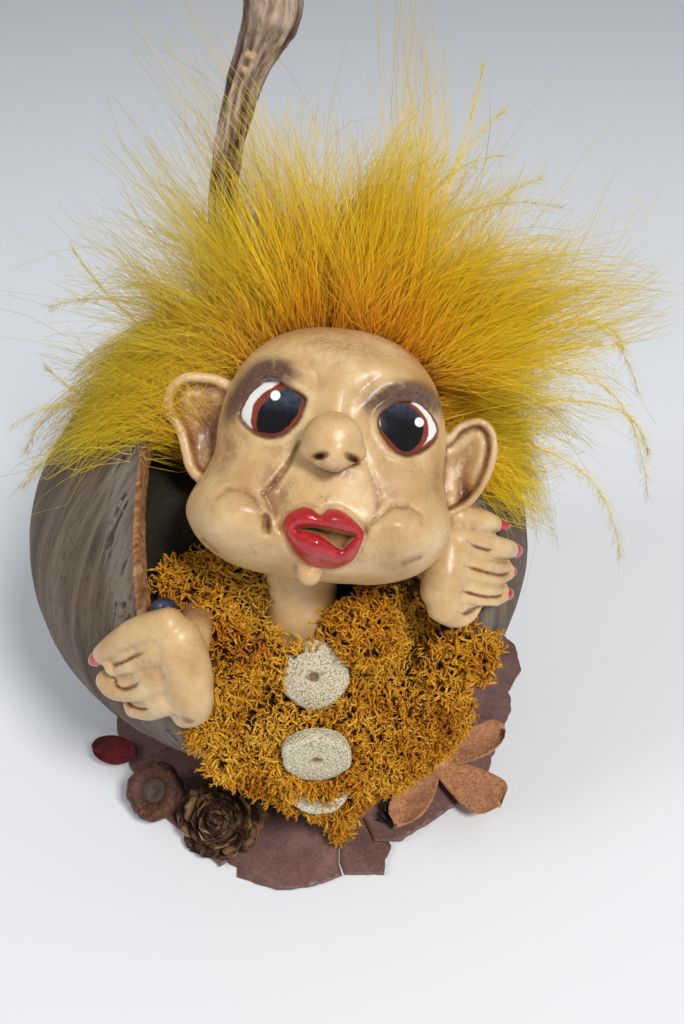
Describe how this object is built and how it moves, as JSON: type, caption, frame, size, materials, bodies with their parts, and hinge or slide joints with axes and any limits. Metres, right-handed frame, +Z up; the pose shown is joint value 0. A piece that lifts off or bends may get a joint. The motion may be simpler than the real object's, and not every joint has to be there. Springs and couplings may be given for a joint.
{
  "type": "folk ornament figurine",
  "caption": "Dough gnome with feather hair and a moss coat, sitting in a hollow seed pod on a rosette of dried leaves.",
  "frame": {"origin": "on the table, under the middle of the leaf rosette", "axes": "+Z up, the figure faces -Y, +X to the viewer's right"},
  "size_m": [0.1605, 0.123, 0.203],
  "materials": {
    "dough": "varnished, waxy",
    "red_paint": "gloss paint",
    "eye_paint": "gloss paint",
    "lid_paint": "satin paint",
    "moss": "dyed, matt",
    "feather": "dyed down",
    "pod_wood": "raw, weathered",
    "bark": "raw bark",
    "leaf": "dried, leathery",
    "cone": "raw",
    "husk": "velvety",
    "sand": "rough, sandy",
    "berry": "satin",
    "foam": "matt",
    "steel": "plain",
    "glue": "dull"
  },
  "bodies": {
    "root": {"head": "dough", "nose": "dough", "chin_knob": "dough", "left_ear": "dough", "right_ear": "dough", "neck": "dough", "left_hand": "dough", "right_hand": "dough", "upper_lip": "red_paint", "lower_lip": "red_paint", "left_eye": "eye_paint", "right_eye": "eye_paint", "left_upper_lid": "lid_paint", "left_lower_lid": "lid_paint", "right_upper_lid": "lid_paint", "right_lower_lid": "lid_paint", "moss_left": "moss", "moss_right": "moss", "moss_placket": "moss", "moss_tail": "moss", "moss_shoulder_left": "moss", "moss_shoulder_right": "moss", "seed_pod": "pod_wood", "branch": "bark", "neck_dowel": "bark", "leaf_front": "leaf", "leaf_right": "leaf", "leaf_back_left": "leaf", "leaf_front_right": "leaf", "leaf_left": "leaf", "leaf_back": "leaf", "small_red_leaf": "leaf", "larch_cone": "cone", "acorn_cup": "husk", "beech_husk": "husk", "button_top": "sand", "button_middle": "sand", "button_bottom": "sand", "berry": "berry", "foam_core": "foam", "left_wrist_wire": "steel", "right_wrist_wire": "steel", "glue_pad": "glue", "plume_1_01": "feather", "plume_1_02": "feather", "plume_1_03": "feather", "plume_1_04": "feather", "plume_1_05": "feather", "plume_2_01": "feather", "plume_2_02": "feather", "plume_2_03": "feather", "plume_2_04": "feather", "plume_2_05": "feather", "plume_2_06": "feather"}
  },
  "joints": []
}
